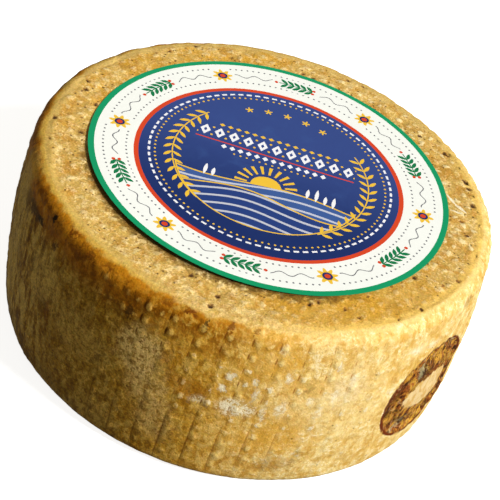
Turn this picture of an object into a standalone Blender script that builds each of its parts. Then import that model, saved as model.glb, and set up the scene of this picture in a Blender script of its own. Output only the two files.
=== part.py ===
# A whole, uncut round of hard ewes' milk cheese with a round paper label on its top face.
# Metres, +Z up. The round stands on its flat foot, and the origin is the middle of that foot.

import math

import bmesh
import bpy
from mathutils import Vector, noise

# The round: a short drum with a swelling side and soft edges.
HEIGHT = 0.0806
FACE_RADIUS = 0.0948  # where the line of the side would meet the top face
FOOT_WIDENING = 0.0004  # the foot is this much wider than the top face
SIDE_SWELL = 0.0028  # how far the side stands out at half height
TOP_EDGE_RADIUS = 0.0052
FOOT_EDGE_RADIUS = 0.0050
TOP_EDGE_STEPS = 3
FOOT_EDGE_STEPS = 2
TOP_RINGS = 3  # rings of faces between the top edge and the plain middle
PLAIN_TOP_RADIUS = 0.0745

# The print of the draining basket on the side: upright grooves, each with a row of nubs beside it.
FLUTES = 58
FIRST_GROOVE = math.radians(4.4)  # bearing of the first groove at half height
COLUMN_PLACES = (0.0, 0.20, 0.60)  # groove, nub and plain column, as shares of one flute
FLUTE_SLANT = 0.45  # radians per metre of height, so the columns lean a little
GROOVE_DEPTH = 0.0010
NUB_ROWS = 10  # rows of nubs below the top one
TOP_NUB_DROP = 0.0067  # from the top face down to the middle of the top row
NUB_RISE = 0.0007
PRINT_STRENGTH = (0.75, 0.5)  # the print's usual strength and how far it varies
PRINT_PATCH = (3.2, 0.017)  # columns and metres of height over which it varies
PRINT_LEFT_AT_TOP = 0.4  # share of the print that is left on the rounded top edge

# Hand-made unevenness, as soft lumps.
LUMP_SPACING = 0.021
LUMP_RISE = 0.0005
TOP_LUMP_SPACING = 0.009
TOP_LUMP_RISE = 0.0006
TOP_LUMP_ONSET = 0.005  # width, out from the label, over which these lumps begin

# The round mark that a hot iron leaves on the side: a scorched band round a plain middle.
MARK_BEARING = math.radians(330)
MARK_DROP = 0.0430  # from the top face down to the mark's middle
MARK_RADIUS = 0.0245
MARK_BAND_WIDTH = 0.0080
MARK_BAND_DEPTH = 0.0013
MARK_MIDDLE_DEPTH = 0.0005
MARK_WALL = 0.0030  # width of the slope at its edge

# The paper label. It lies over the plain middle, a little off centre, and lifts at its front left.
LABEL_RADIUS = 0.0750
LABEL_CENTRE = (0.0005, 0.0022)
LABEL_THICKNESS = 0.0005
LABEL_CLEARANCE = 0.0003
LABEL_LIFT = 0.0010
LABEL_LIFT_BEARING = math.radians(218)
LABEL_LIFT_FROM = 0.55  # share of the radius where the lift begins
LABEL_SEGMENTS = 84
LABEL_RINGS = (1.0, 0.93, 0.84, 0.72, 0.55)  # shares of the radius

CREASE_ANGLE = math.radians(50)  # sharper edges than this are not shaded smooth
SAME_PLACE = 1e-6

# Colour, roughness and metallic value of each material.
RIND = ((0.61, 0.36, 0.10), 0.55, 0.0)
PAPER = ((0.93, 0.93, 0.90), 0.45, 0.0)


def clear_scene():
    for obj in list(bpy.data.objects):
        bpy.data.objects.remove(obj)


def smooth_step(low, high, value):
    share = min(1.0, max(0.0, (value - low) / (high - low)))
    return share * share * (3.0 - 2.0 * share)


def side_radius(height):
    """Radius of the plain side at a height above the foot."""
    share = height / HEIGHT
    swell = 4.0 * SIDE_SWELL * share * (1.0 - share)
    return FACE_RADIUS + FOOT_WIDENING * (1.0 - share) + swell


def edge_arc(radius, start, end, steps, centre_height):
    """Points of a rounded edge, from one angle above the horizontal to another."""
    points = []
    for step in range(steps + 1):
        angle = start + (end - start) * step / steps
        height = centre_height + radius * math.sin(angle)
        reach = side_radius(height) - radius + radius * math.cos(angle)
        points.append((reach, height))
    return points


def nub_pitch():
    """Height between two rows of nubs; the lowest row is where the foot's edge begins."""
    return (HEIGHT - TOP_NUB_DROP - FOOT_EDGE_RADIUS) / NUB_ROWS


def round_profile():
    """The outline from the foot, up the side and in over the top face, as (radius, height)."""
    quarter = math.pi / 2
    points = edge_arc(FOOT_EDGE_RADIUS, -quarter, 0.0, FOOT_EDGE_STEPS, FOOT_EDGE_RADIUS)
    for step in range(1, 2 * NUB_ROWS + 1):
        height = FOOT_EDGE_RADIUS + nub_pitch() * step / 2
        points.append((side_radius(height), height))
    high = HEIGHT - TOP_EDGE_RADIUS
    points += edge_arc(TOP_EDGE_RADIUS, 0.0, quarter, TOP_EDGE_STEPS, high)
    outer = points[-1][0]
    for ring in range(1, TOP_RINGS + 1):
        points.append((outer + (PLAIN_TOP_RADIUS - outer) * ring / TOP_RINGS, HEIGHT))
    return points


def column_bearing(column, height):
    """Bearing of a mesh column, drawn towards its groove and leaning with height."""
    per_flute = len(COLUMN_PLACES)
    flute, place = divmod(column, per_flute)
    around = math.tau * (flute + COLUMN_PLACES[place]) / FLUTES
    return FIRST_GROOVE + around + FLUTE_SLANT * (height - HEIGHT / 2)


def basket_relief(column, height):
    """How far the basket's print moves the side outwards at one vertex."""
    place = column % len(COLUMN_PLACES)
    top_fade = 1.0 - (1.0 - PRINT_LEFT_AT_TOP) * smooth_step(HEIGHT - TOP_EDGE_RADIUS, HEIGHT, height)
    fade = smooth_step(0.0, FOOT_EDGE_RADIUS, height) * top_fade
    patch = Vector((column / PRINT_PATCH[0], height / PRINT_PATCH[1], 0.0))
    strength = PRINT_STRENGTH[0] + PRINT_STRENGTH[1] * noise.noise(patch)
    if place == 0:
        return -GROOVE_DEPTH * strength * fade
    if place == 1:
        row = (height - FOOT_EDGE_RADIUS) / nub_pitch()
        return NUB_RISE * strength * fade * (0.5 + 0.5 * math.cos(math.tau * row))
    return 0.0


def mark_relief(distance):
    """Depth of the hot-iron mark at a distance from its middle."""
    wall = 1.0 - smooth_step(MARK_RADIUS - MARK_WALL, MARK_RADIUS, distance)
    inner = MARK_RADIUS - MARK_BAND_WIDTH
    band = smooth_step(inner - MARK_WALL, inner, distance)
    return wall * (MARK_MIDDLE_DEPTH + (MARK_BAND_DEPTH - MARK_MIDDLE_DEPTH) * band)


def side_point(column, radius, height):
    """Place of a side vertex once the basket's print, lumps and mark are in."""
    bearing = column_bearing(column, height)
    around = Vector((math.cos(bearing), math.sin(bearing), 0.0))
    across = (bearing - MARK_BEARING + math.pi) % math.tau - math.pi
    distance = math.hypot(radius * across, height - (HEIGHT - MARK_DROP))
    inside_mark = 1.0 - smooth_step(MARK_RADIUS - MARK_WALL, MARK_RADIUS, distance)
    place = around * radius + Vector((0.0, 0.0, height))
    lump = LUMP_RISE * noise.noise(place / LUMP_SPACING) * smooth_step(0.0, FOOT_EDGE_RADIUS, height)
    relief = basket_relief(column, height) * (1.0 - inside_mark)
    return place + around * (relief + lump - mark_relief(distance))


def top_point(column, radius):
    """Place of a top-face vertex, with soft lumps between the label and the edge."""
    bearing = column_bearing(column, HEIGHT)
    flat = Vector((math.cos(bearing), math.sin(bearing), 0.0)) * radius
    label_edge = (flat - Vector((*LABEL_CENTRE, 0.0))).length
    outside = smooth_step(LABEL_RADIUS, LABEL_RADIUS + TOP_LUMP_ONSET, label_edge)
    lump = TOP_LUMP_RISE * noise.noise(flat / TOP_LUMP_SPACING) * outside
    return flat + Vector((0.0, 0.0, HEIGHT + lump))


def spin_round(profile, columns):
    """The outline turned once round the axis, with its foot and its middle filled flat."""
    bm = bmesh.new()
    verts = [bm.verts.new((radius, 0.0, height)) for radius, height in profile]
    edges = [bm.edges.new(pair) for pair in zip(verts, verts[1:])]
    bmesh.ops.spin(
        bm,
        geom=verts + edges,
        cent=(0.0, 0.0, 0.0),
        axis=(0.0, 0.0, 1.0),
        angle=math.tau,
        steps=columns,
        use_merge=True,
        use_duplicate=False,
    )
    rims = [edge for edge in bm.edges if edge.is_boundary]
    bmesh.ops.edgeloop_fill(bm, edges=rims)
    return bm


def shape_round(bm, profile, columns):
    """Moves each vertex of the plain turned shape to its place on the uneven round."""
    top_starts = len(profile) - TOP_RINGS - 1
    for vert in bm.verts:
        radius = math.hypot(vert.co.x, vert.co.y)
        column = round(math.atan2(vert.co.y, vert.co.x) / math.tau * columns) % columns
        on_top = vert.co.z > HEIGHT - SAME_PLACE and radius < profile[top_starts][0] - SAME_PLACE
        if on_top:
            vert.co = top_point(column, radius)
        else:
            vert.co = side_point(column, radius, vert.co.z)


def build_round():
    columns = FLUTES * len(COLUMN_PLACES)
    profile = round_profile()
    bm = spin_round(profile, columns)
    shape_round(bm, profile, columns)
    bmesh.ops.recalc_face_normals(bm, faces=bm.faces)
    return finish("wheel", bm, material("rind", RIND))


def label_lift(x, y):
    """How far the paper stands off the face at a place on the label."""
    radius = math.hypot(x, y)
    facing = max(0.0, math.cos(math.atan2(y, x) - LABEL_LIFT_BEARING))
    return LABEL_LIFT * facing * smooth_step(LABEL_LIFT_FROM * LABEL_RADIUS, LABEL_RADIUS, radius)


def build_label():
    bm = bmesh.new()
    made = bmesh.ops.create_circle(bm, segments=LABEL_SEGMENTS, radius=LABEL_RADIUS)
    rim = list({edge for vert in made["verts"] for edge in vert.link_edges})
    for outer, inner in zip(LABEL_RINGS, LABEL_RINGS[1:]):
        grown = bmesh.ops.extrude_edge_only(bm, edges=rim)["geom"]
        ring = [item for item in grown if isinstance(item, bmesh.types.BMVert)]
        shrink = inner / outer
        bmesh.ops.scale(bm, vec=(shrink, shrink, 1.0), verts=ring)
        kept = set(ring)
        rim = [edge for edge in bm.edges if edge.verts[0] in kept and edge.verts[1] in kept]
    bmesh.ops.edgeloop_fill(bm, edges=rim)
    bmesh.ops.recalc_face_normals(bm, faces=bm.faces)
    if sum(face.normal.z for face in bm.faces) < 0.0:
        bmesh.ops.reverse_faces(bm, faces=bm.faces)
    bmesh.ops.triangulate(bm, faces=bm.faces)
    for vert in bm.verts:
        vert.co.z = LABEL_THICKNESS + label_lift(vert.co.x, vert.co.y)
    bmesh.ops.solidify(bm, geom=bm.faces, thickness=LABEL_THICKNESS)
    bmesh.ops.recalc_face_normals(bm, faces=bm.faces)
    label = finish("label", bm, material("paper", PAPER))
    label.location = (*LABEL_CENTRE, HEIGHT + LABEL_CLEARANCE)
    return label


def material(name, look):
    colour, roughness, metallic = look
    made = bpy.data.materials.new(name)
    made.use_nodes = True
    shader = made.node_tree.nodes["Principled BSDF"]
    shader.inputs["Base Color"].default_value = (*colour, 1.0)
    shader.inputs["Roughness"].default_value = roughness
    shader.inputs["Metallic"].default_value = metallic
    return made


def finish(name, bm, surface):
    """Turns a bmesh into a smooth-shaded object in the scene."""
    mesh = bpy.data.meshes.new(name)
    bm.to_mesh(mesh)
    bm.free()
    mesh.shade_smooth()
    mesh.set_sharp_from_angle(angle=CREASE_ANGLE)
    mesh.materials.append(surface)
    obj = bpy.data.objects.new(name, mesh)
    bpy.context.collection.objects.link(obj)
    return obj


clear_scene()
build_round()
build_label()
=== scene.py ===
import random
from math import atan, atan2, cos, degrees, exp, hypot, pi, radians, sin, sqrt, tau

import bmesh
import bpy
from mathutils import Matrix, Vector, noise


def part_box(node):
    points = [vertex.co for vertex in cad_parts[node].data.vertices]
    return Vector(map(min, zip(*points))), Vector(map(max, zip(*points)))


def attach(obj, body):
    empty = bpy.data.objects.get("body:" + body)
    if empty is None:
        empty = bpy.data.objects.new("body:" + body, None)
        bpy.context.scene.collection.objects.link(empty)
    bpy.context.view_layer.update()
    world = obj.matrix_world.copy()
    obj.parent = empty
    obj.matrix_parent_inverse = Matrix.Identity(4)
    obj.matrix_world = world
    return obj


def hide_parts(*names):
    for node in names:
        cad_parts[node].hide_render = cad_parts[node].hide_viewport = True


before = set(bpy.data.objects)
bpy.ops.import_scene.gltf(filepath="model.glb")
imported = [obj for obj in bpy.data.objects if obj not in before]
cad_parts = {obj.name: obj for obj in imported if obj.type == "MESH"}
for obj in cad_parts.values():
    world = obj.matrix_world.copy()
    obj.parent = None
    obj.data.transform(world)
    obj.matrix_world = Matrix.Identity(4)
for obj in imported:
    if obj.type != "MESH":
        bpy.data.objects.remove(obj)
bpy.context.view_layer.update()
labelLow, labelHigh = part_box("label")
labelMiddle = (labelLow + labelHigh) / 2
labelRadius = (labelHigh.x - labelLow.x) / 2
print("frame loaded:", ", ".join(sorted(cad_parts)))


class Wire:
    # wraps one output socket, so that arithmetic on it adds Math nodes to its tree
    def __init__(self, tree, socket=None):
        self.tree = tree
        self.socket = socket

    def node(self, kind, settings=None, inputs=None, output=0):
        made = self.tree.nodes.new(kind)
        for name, value in (settings or {}).items():
            setattr(made, name, value)
        feed(made, inputs or {})
        return Wire(self.tree, made.outputs[output])

    def other(self, output):
        # another output of the same node
        return Wire(self.tree, self.socket.node.outputs[output])

    def math(self, operation, *others):
        return self.node("ShaderNodeMath", {"operation": operation}, dict(enumerate((self, *others))))

    def __abs__(self):
        return self.math("ABSOLUTE")

    def __add__(self, other):
        return self.math("ADD", other)

    __radd__ = __add__

    def __sub__(self, other):
        return self.math("SUBTRACT", other)

    def __rsub__(self, other):
        return self.node("ShaderNodeMath", {"operation": "SUBTRACT"}, {0: other, 1: self})

    def __mul__(self, other):
        return self.math("MULTIPLY", other)

    __rmul__ = __mul__

    def __truediv__(self, other):
        return self.math("DIVIDE", other)

    def __lt__(self, other):
        return self.math("LESS_THAN", other)

    def __gt__(self, other):
        return self.math("GREATER_THAN", other)


def feed(node, inputs):
    for key, value in inputs.items():
        if isinstance(value, Wire):
            value.tree.links.new(value.socket, node.inputs[key])
        else:
            node.inputs[key].default_value = value


def tone(red, green, blue):
    # a colour as it looks on a screen, 0 to 255, made linear for the shader
    levels = [level / 255 for level in (red, green, blue)]
    return (*[s / 12.92 if s <= 0.04045 else ((s + 0.055) / 1.055) ** 2.4 for s in levels], 1.0)


def rise(value, low, high):
    # 0 up to low and 1 from high on, smooth between; falls instead where low is above high
    settings = {"interpolation_type": "SMOOTHSTEP", "clamp": False}
    return value.node("ShaderNodeMapRange", settings, {0: value, 1: low, 2: high})


def mix(share, first, second, way="MIX"):
    maker = next(term for term in (share, first, second) if isinstance(term, Wire))
    settings = {"data_type": "RGBA", "blend_type": way}
    return maker.node("ShaderNodeMix", settings, {0: share, 6: first, 7: second}, output=2)


class Coat:
    # a colour that more paints are laid over: colours, or names in its palette
    def __init__(self, colour, palette):
        self.colour = colour
        self.palette = palette

    def lay(self, share, paint, way="MIX"):
        if isinstance(paint, str):
            paint = tone(*self.palette[paint])
        self.colour = mix(share, self.colour, paint, way)


def shade(colour, level):
    # the colour made darker or lighter by a level that varies over the surface
    settings = {"data_type": "RGBA", "clamp_factor": False}
    return colour.node("ShaderNodeMix", settings, {0: level, 6: (0, 0, 0, 1), 7: colour}, output=2)


def grain(place, size, detail=2.0, roughness=0.5, warp=0.0):
    # soft noise whose lumps are about size metres wide
    return place.node("ShaderNodeTexNoise", None, {
        "Vector": place, "Scale": 1 / size, "Detail": detail, "Roughness": roughness, "Distortion": warp})


def specks(place, spacing, size, share, fray=0.0):
    # soft dots, at most one to a cell of a loose grid, in a share of its cells
    distance = place.node("ShaderNodeTexVoronoi", None, {"Vector": place, "Scale": 1 / spacing})
    chance = distance.node("ShaderNodeSeparateColor", None, {0: distance.other(1)})
    return rise(distance + fray, size / spacing, size * 0.55 / spacing) * (chance < share)


def stretch(place, across, around, up):
    return place.node("ShaderNodeMapping", None, {"Vector": place, "Scale": (across, around, up)})


def parts(vector):
    return [vector.node("ShaderNodeSeparateXYZ", None, {0: vector}, output=axis) for axis in range(3)]


def joined(across, up):
    return across.node("ShaderNodeCombineXYZ", None, {0: across, 1: up})


def lengthOf(vector):
    return vector.node("ShaderNodeVectorMath", {"operation": "LENGTH"}, {0: vector}, output=1)


def local(flat, x, y, wide, high, turn=0.0):
    # the same place measured from a motif's middle, in shares of its half sizes
    if turn:
        inputs = {"Vector": flat, "Location": (x, y, 0), "Rotation": (0, 0, turn), "Scale": (wide, high, 1)}
        return flat.node("ShaderNodeMapping", {"vector_type": "TEXTURE"}, inputs)
    inputs = {0: flat, 1: (1 / wide, 1 / high, 1), 2: (-x / wide, -y / high, 0)}
    return flat.node("ShaderNodeVectorMath", {"operation": "MULTIPLY_ADD"}, inputs)


def either(*masks):
    whole = masks[0]
    for mask in masks[1:]:
        whole = whole.math("MAXIMUM", mask)
    return whole


def folded(flat, *size):
    # how far across and how far up from a motif's middle, whichever way
    return [abs(part) for part in parts(local(flat, *size))[:2]]


def oval(flat, *size):
    return lengthOf(local(flat, *size)) < 1.0


def leaf(flat, *size):
    x, y = folded(flat, *size)
    return (x * x + y) < 1.0


def lozenge(flat, *size):
    x, y = folded(flat, *size)
    return (x + y) < 1.0


def bar(flat, *size):
    return either(*folded(flat, *size)) < 1.0


def startMaterial(name):
    made = bpy.data.materials.new(name)
    made.use_nodes = True
    tree = made.node_tree
    place = Wire(tree).node("ShaderNodeTexCoord", output=3)
    return made, tree.nodes["Principled BSDF"], place


def smoothStep(low, high, value):
    share = min(1.0, max(0.0, (value - low) / (high - low)))
    return share * share * (3.0 - 2.0 * share)


def addObject(name, data):
    piece = bpy.data.objects.new(name, data)
    bpy.context.collection.objects.link(piece)
    return piece


def placeMesh(name, bm, material):
    mesh = bpy.data.meshes.new(name)
    bm.to_mesh(mesh)
    bm.free()
    mesh.materials.append(material)
    return addObject(name, mesh)


def finishPiece(name, bm, material, node):
    piece = placeMesh(name, bm, material)
    piece.data.shade_smooth()
    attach(piece, "root")
    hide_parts(node)
    print(f"{name}: {len(piece.data.vertices)} vertices, {len(piece.data.polygons)} faces")
    return piece


# the drum: lengths in metres, bearings in degrees from +X, drops down from the top face
drum = {
    "height": 0.0806,
    "faceRadius": 0.0948,
    "footWidening": 0.0004,
    "swell": 0.0028,
    "topEdge": 0.0052,
    "footEdge": 0.005,
    "sideRows": 82,
    "topEdgeRows": 9,
    "footEdgeRows": 6,
    "topRings": 25,
    "topRingsEnd": 0.07,  # the rings stop here, under the label
    "middleRings": (0.055, 0.035, 0.015),
    "footRings": (0.015, 0.04, 0.062, 0.078),
    "lumpSpacing": 0.021,
    "lumpRise": 0.0005,
    "dabSpacing": 0.006,
    "dabRise": 0.00018,
    "backBearing": 150,  # the dabs are coarser around the back, as far as the gain says
    "backGain": 1.6,
    "roughSpacing": 0.0022,
    "roughRise": 0.00012,
    "strandRise": 0.0001,
    "strandSize": (0.0022, 0.008),  # width and height of the faint upright strands
}

# the draining basket's print on the side
basket = {
    "flutes": 58,
    "firstGroove": 3.8,
    "slant": 0.45,  # radians per metre of height
    "columns": (0.0, 0.05, 0.1, 0.15, 0.2, 0.25, 0.3, 0.4, 0.54, 0.68, 0.81, 0.93),
    "grooveDepth": 0.0002,
    "grooveHalf": 0.0003,
    "valleyDepth": 0.00012,
    "ribBearing": 18,  # where the flutes stand out most, and how much deeper and how wide that is
    "ribGain": 0.0008,
    "ribHalf": 52,
    "ribMean": 0.35,  # share of the flutes' depth that they stand out by
    "lastNubRow": 10,
    "topNubDrop": 0.0058,
    "nubGap": 0.0065,
    "nubPlace": 0.2,
    "nubHalf": (0.0016, 0.0023),
    "nubRise": 0.00054,
    "smallNubPlace": 0.72,
    "smallNubHalf": (0.0011, 0.0014),
    "smallNubRise": 0.00026,
    "smallNubDrop": 0.027,  # small nubs only show above this
    "lineDrop": 0.046,  # below this the dashes left of the nubs run into one line
    "jitter": 0.0004,
    "seed": 11,
    "faint": 0.26,  # strength of the print where it is nearly worn away
    # where it stands out: bearing, drop, half width, half height and the strength it gains
    "clear": (
        (262, 0.009, 0.036, 0.013, 0.85),
        (264, 0.062, 0.04, 0.017, 0.6),
        (283, 0.03, 0.034, 0.02, 0.4),
        (298, 0.014, 0.03, 0.012, 0.3),
        (15, 0.04, 0.075, 0.055, 0.75),
        (100, 0.04, 0.075, 0.052, 0.75),
        (160, 0.042, 0.05, 0.048, 0.7),
    ),
}

# the round mark that a hot iron pressed into the side
ironMark = {
    "bearing": 330,
    "drop": 0.043,
    "radius": 0.0245,
    "bandWidth": 0.008,
    "bandDepth": 0.0013,
    "middleDepth": 0.0005,
    "wall": 0.003,
    "cragRise": 0.0006,
    "cragSpacing": 0.0028,
}

# the top face outside the label
crown = {
    "lumpSpacing": 0.009,
    "lumpRise": 0.0006,
    "roughSpacing": 0.0017,
    "roughRise": 0.0002,
    "nubPitch": 0.0054,
    "nubTurn": 28,
    "nubRadius": 0.0016,
    "nubRise": 0.00042,
    "nubJitter": 0.0012,
    "pits": 52,
    "pitRadius": (0.0008, 0.0014),
    "pitDepth": 0.0006,
    "seed": 5,
    # the larger holes: place on the face and radius
    "holes": (
        (0.0808, 0.0348, 0.0015), (0.0826, 0.0356, 0.0011), (0.0796, 0.0361, 0.001),
        (0.0823, 0.0309, 0.0014), (0.0836, 0.0318, 0.0009), (0.0697, 0.0515, 0.0014),
        (0.0711, 0.0508, 0.001), (0.0428, 0.0451, 0.0012), (-0.0823, 0.0174, 0.0012),
        (-0.0834, 0.016, 0.0008), (-0.0681, 0.0158, 0.0011),
        (-0.0887, -0.0079, 0.0016), (-0.0158, -0.076, 0.0013), (0.0285, -0.072, 0.0011),
    ),
}


def sideRadius(height):
    share = height / drum["height"]
    swell = 4.0 * drum["swell"] * share * (1.0 - share)
    return drum["faceRadius"] + drum["footWidening"] * (1.0 - share) + swell


def edgeArc(radius, start, end, steps, centreHeight):
    points = []
    for step in range(steps + 1):
        angle = start + (end - start) * step / steps
        height = centreHeight + radius * sin(angle)
        points.append((sideRadius(height) - radius + radius * cos(angle), height))
    return points


def drumProfile():
    # the outline from near the foot's middle, up the side and in over the top, as (radius, height)
    quarter = pi / 2
    top, low = drum["height"], drum["footEdge"]
    high = top - drum["topEdge"]
    points = [(radius, 0.0) for radius in drum["footRings"]]
    points += edgeArc(low, -quarter, 0.0, drum["footEdgeRows"], low)
    for row in range(1, drum["sideRows"]):
        height = low + (high - low) * row / drum["sideRows"]
        points.append((sideRadius(height), height))
    points += edgeArc(drum["topEdge"], 0.0, quarter, drum["topEdgeRows"], high)
    outer = points[-1][0]
    for ring in range(1, drum["topRings"] + 1):
        points.append((outer + (drum["topRingsEnd"] - outer) * ring / drum["topRings"], top))
    return points + [(radius, top) for radius in drum["middleRings"]]


def spinProfile(profile, columns):
    bm = bmesh.new()
    verts = [bm.verts.new((radius, 0.0, height)) for radius, height in profile]
    edges = [bm.edges.new(pair) for pair in zip(verts, verts[1:])]
    bmesh.ops.spin(bm, geom=verts + edges, cent=(0, 0, 0), axis=(0, 0, 1), angle=tau, steps=columns,
                   use_merge=True, use_duplicate=False)
    rims = [edge for edge in bm.edges if edge.is_boundary]
    caps = bmesh.ops.edgeloop_fill(bm, edges=rims)["faces"]
    bmesh.ops.poke(bm, faces=caps)
    return bm


def printClearness(bearing, drop):
    # how clearly the basket's print stands out at a place on the side
    strength = basket["faint"]
    for middle, middleDrop, halfWidth, halfHeight, gain in basket["clear"]:
        across = radians((bearing - middle + 180) % 360 - 180) * drum["faceRadius"] / halfWidth
        up = (drop - middleDrop) / halfHeight
        strength += gain * exp(-(across * across + up * up))
    return strength


def scatterNubs():
    # how strong each nub is and how far it sits from its place
    draw = random.Random(basket["seed"])
    spread = basket["jitter"]
    nubs = {}
    for flute in range(basket["flutes"]):
        for row in range(basket["lastNubRow"] + 1):
            for kind in ("nub", "smallNub"):
                strength = draw.uniform(0.55, 1.15) if kind == "nub" else draw.choice((0.0, 0.5, 0.8, 1.1))
                shift = (draw.uniform(-spread, spread), draw.uniform(-spread, spread))
                nubs[flute, row, kind] = (strength, shift)
    return nubs


def dome(across, up, half):
    reach = (across / half[0]) ** 2 + (up / half[1]) ** 2
    return max(0.0, 1.0 - reach)


def nubRow(height):
    return (drum["height"] - height - basket["topNubDrop"]) / basket["nubGap"]


def nubLevel(kind, nubs, turn, height, pitch):
    # height of one kind of nub, 0 to 1, at a place in the print
    row = min(basket["lastNubRow"], max(0, round(nubRow(height))))
    flute = int(turn) % basket["flutes"]
    strength, shift = nubs[flute, row, kind]
    across = (turn - int(turn) - basket[kind + "Place"]) * pitch - shift[0]
    up = (nubRow(height) - row) * basket["nubGap"] - shift[1]
    return strength * dome(across, up, basket[kind + "Half"])


def markRelief(distance, place):
    # depth of the pressed mark, with crags in its scorched band
    radius, wall = ironMark["radius"], ironMark["wall"]
    inside = 1.0 - smoothStep(radius - wall, radius, distance)
    inner = radius - ironMark["bandWidth"]
    band = smoothStep(inner - wall, inner, distance)
    crag = ironMark["cragRise"] * noise.fractal(place / ironMark["cragSpacing"], 0.8, 2.0, 3) * band
    depth = ironMark["middleDepth"] + (ironMark["bandDepth"] - ironMark["middleDepth"]) * band
    return inside * (depth - crag)


def sidePoint(turn, radius, height, nubs, facing):
    # where a vertex of the side ends up, with the levels that its colours need
    bearing = radians(basket["firstGroove"]) + tau * turn / basket["flutes"]
    bearing += basket["slant"] * (height - drum["height"] / 2)
    around = Vector((cos(bearing), sin(bearing), 0.0))
    place = around * radius + Vector((0.0, 0.0, height))
    drop = drum["height"] - height
    onSide = smoothStep(0.0, drum["footEdge"], height)
    topFade = smoothStep(0.2 * drum["topEdge"], 0.8 * drum["topEdge"], drop)

    across = (bearing - radians(ironMark["bearing"]) + pi) % tau - pi
    distance = hypot(radius * across, drop - ironMark["drop"])
    inMark = 1.0 - smoothStep(ironMark["radius"] - ironMark["wall"], ironMark["radius"], distance)

    patch = noise.noise(Vector((turn * 3 / 3.2, height / 0.017, 0.0)))
    strength = (0.9 + 0.6 * patch) * printClearness(degrees(bearing), drop) * onSide * (1.0 - inMark)
    pitch = tau * radius / basket["flutes"]
    share = turn - int(turn)
    fromGroove = min(share, 1.0 - share) * pitch
    dash = 0.5 + 0.5 * cos(tau * nubRow(height))
    lined = max(dash, smoothStep(basket["lineDrop"] - 0.004, basket["lineDrop"] + 0.004, drop))
    groove = exp(-(fromGroove / basket["grooveHalf"]) ** 2) * strength * topFade * lined
    valley = cos(pi * share) ** 2
    ripple = 0.6 * valley + 0.5 * cos(tau * (share - basket["nubPlace"]) + pi / 2) ** 2
    fromRibs = (degrees(bearing) - basket["ribBearing"] + 180) % 360 - 180
    rib = basket["ribGain"] * exp(-(fromRibs / basket["ribHalf"]) ** 2) * onSide * (1.0 - inMark)
    crest = nubLevel("nub", nubs, turn, height, pitch) * topFade * (1.0 - inMark)
    nub = crest * strength
    smallNub = nubLevel("smallNub", nubs, turn, height, pitch) * strength * topFade
    smallNub *= 1.0 - smoothStep(basket["smallNubDrop"] * 0.8, basket["smallNubDrop"], drop)

    lump = drum["lumpRise"] * noise.noise(place / drum["lumpSpacing"])
    atBack = max(0.0, cos(bearing - radians(drum["backBearing"])))
    dab = drum["dabRise"] * (1.0 + drum["backGain"] * atBack) * noise.noise(place / drum["dabSpacing"])
    rough = drum["roughRise"] * noise.fractal(place / drum["roughSpacing"], 0.9, 2.0, 3)
    wide, tall = drum["strandSize"]
    strand = drum["strandRise"] * noise.noise(Vector((place.x / wide, place.y / wide, place.z / tall)))
    relief = (lump + dab + rough + strand * topFade) * onSide - basket["grooveDepth"] * groove
    relief += basket["nubRise"] * nub + basket["smallNubRise"] * smallNub
    relief -= markRelief(distance, place)
    ribs = (ripple - basket["ribMean"]) * rib * (1.0 + 0.9 * max(0.0, facing[1]))
    scallop = valley * basket["valleyDepth"] * strength * topFade + ribs
    outward = around * facing[0] + Vector((0.0, 0.0, facing[1]))
    levels = {"nub": min(1.0, nub + smallNub), "crest": min(1.0, crest), "groove": groove}
    return place + outward * relief - around * scallop, levels


def scatterPits():
    draw = random.Random(crown["seed"])
    pits = list(crown["holes"])
    while len(pits) < crown["pits"]:
        reach, bearing = draw.uniform(0.070, 0.090), draw.uniform(0.0, tau)
        size = draw.uniform(*crown["pitRadius"])
        pits.append((reach * cos(bearing), reach * sin(bearing), size))
    return [(Vector((x, y, 0.0)), size) for x, y, size in pits]


def latticeNub(flat):
    # height of the small round nubs on the top face, in a rough square lattice
    turned = Matrix.Rotation(radians(crown["nubTurn"]), 3, "Z") @ flat / crown["nubPitch"]
    cell = Vector((round(turned.x), round(turned.y), 0.0))
    wander = noise.noise_vector(cell * 7.31) * crown["nubJitter"] / crown["nubPitch"]
    wander.z = 0.0
    distance = (turned - cell - wander).length * crown["nubPitch"]
    distance *= 1.0 + 0.9 * noise.noise(flat / crown["roughSpacing"])
    strength = 0.7 + 0.9 * noise.noise(cell * 3.17)
    return max(0.0, strength) * smoothStep(1.0, 0.45, distance / crown["nubRadius"])


def topPoint(turn, radius, pits):
    bearing = radians(basket["firstGroove"]) + tau * turn / basket["flutes"]
    bearing += basket["slant"] * drum["height"] / 2
    flat = Vector((cos(bearing), sin(bearing), 0.0)) * radius
    fromLabel = (flat - Vector((labelMiddle.x, labelMiddle.y, 0.0))).length
    outside = smoothStep(labelRadius - 0.0005, labelRadius + 0.002, fromLabel)
    inRim = 1.0 - smoothStep(0.0865, 0.0895, radius)
    lump = crown["lumpRise"] * noise.noise(flat / crown["lumpSpacing"]) * smoothStep(
        labelRadius, labelRadius + 0.005, fromLabel)
    rough = crown["roughRise"] * noise.fractal(flat / crown["roughSpacing"], 0.8, 2.0, 3)
    nub = latticeNub(flat) * inRim
    pit = max((1.0 - ((flat - hole).length / size) ** 2 for hole, size in pits), default=0.0)
    pit = max(0.0, pit)
    raised = rough * (0.25 + 0.75 * inRim) + crown["nubRise"] * nub
    relief = lump + outside * (raised - crown["pitDepth"] * pit)
    return flat + Vector((0.0, 0.0, drum["height"] + relief)), {"nub": nub, "pit": pit}


def faceDirection(height):
    # which way the plain surface faces, as its outward and upward shares
    if height > drum["height"] - drum["topEdge"]:
        up = min(1.0, (height - drum["height"] + drum["topEdge"]) / drum["topEdge"])
    elif height < drum["footEdge"]:
        up = max(-1.0, (height - drum["footEdge"]) / drum["footEdge"])
    else:
        up = 0.0
    return sqrt(1.0 - up * up), up


# what each vertex of the rind carries for its colours
rindLevels = ("nub", "crest", "groove", "pit", "crown")


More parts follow.
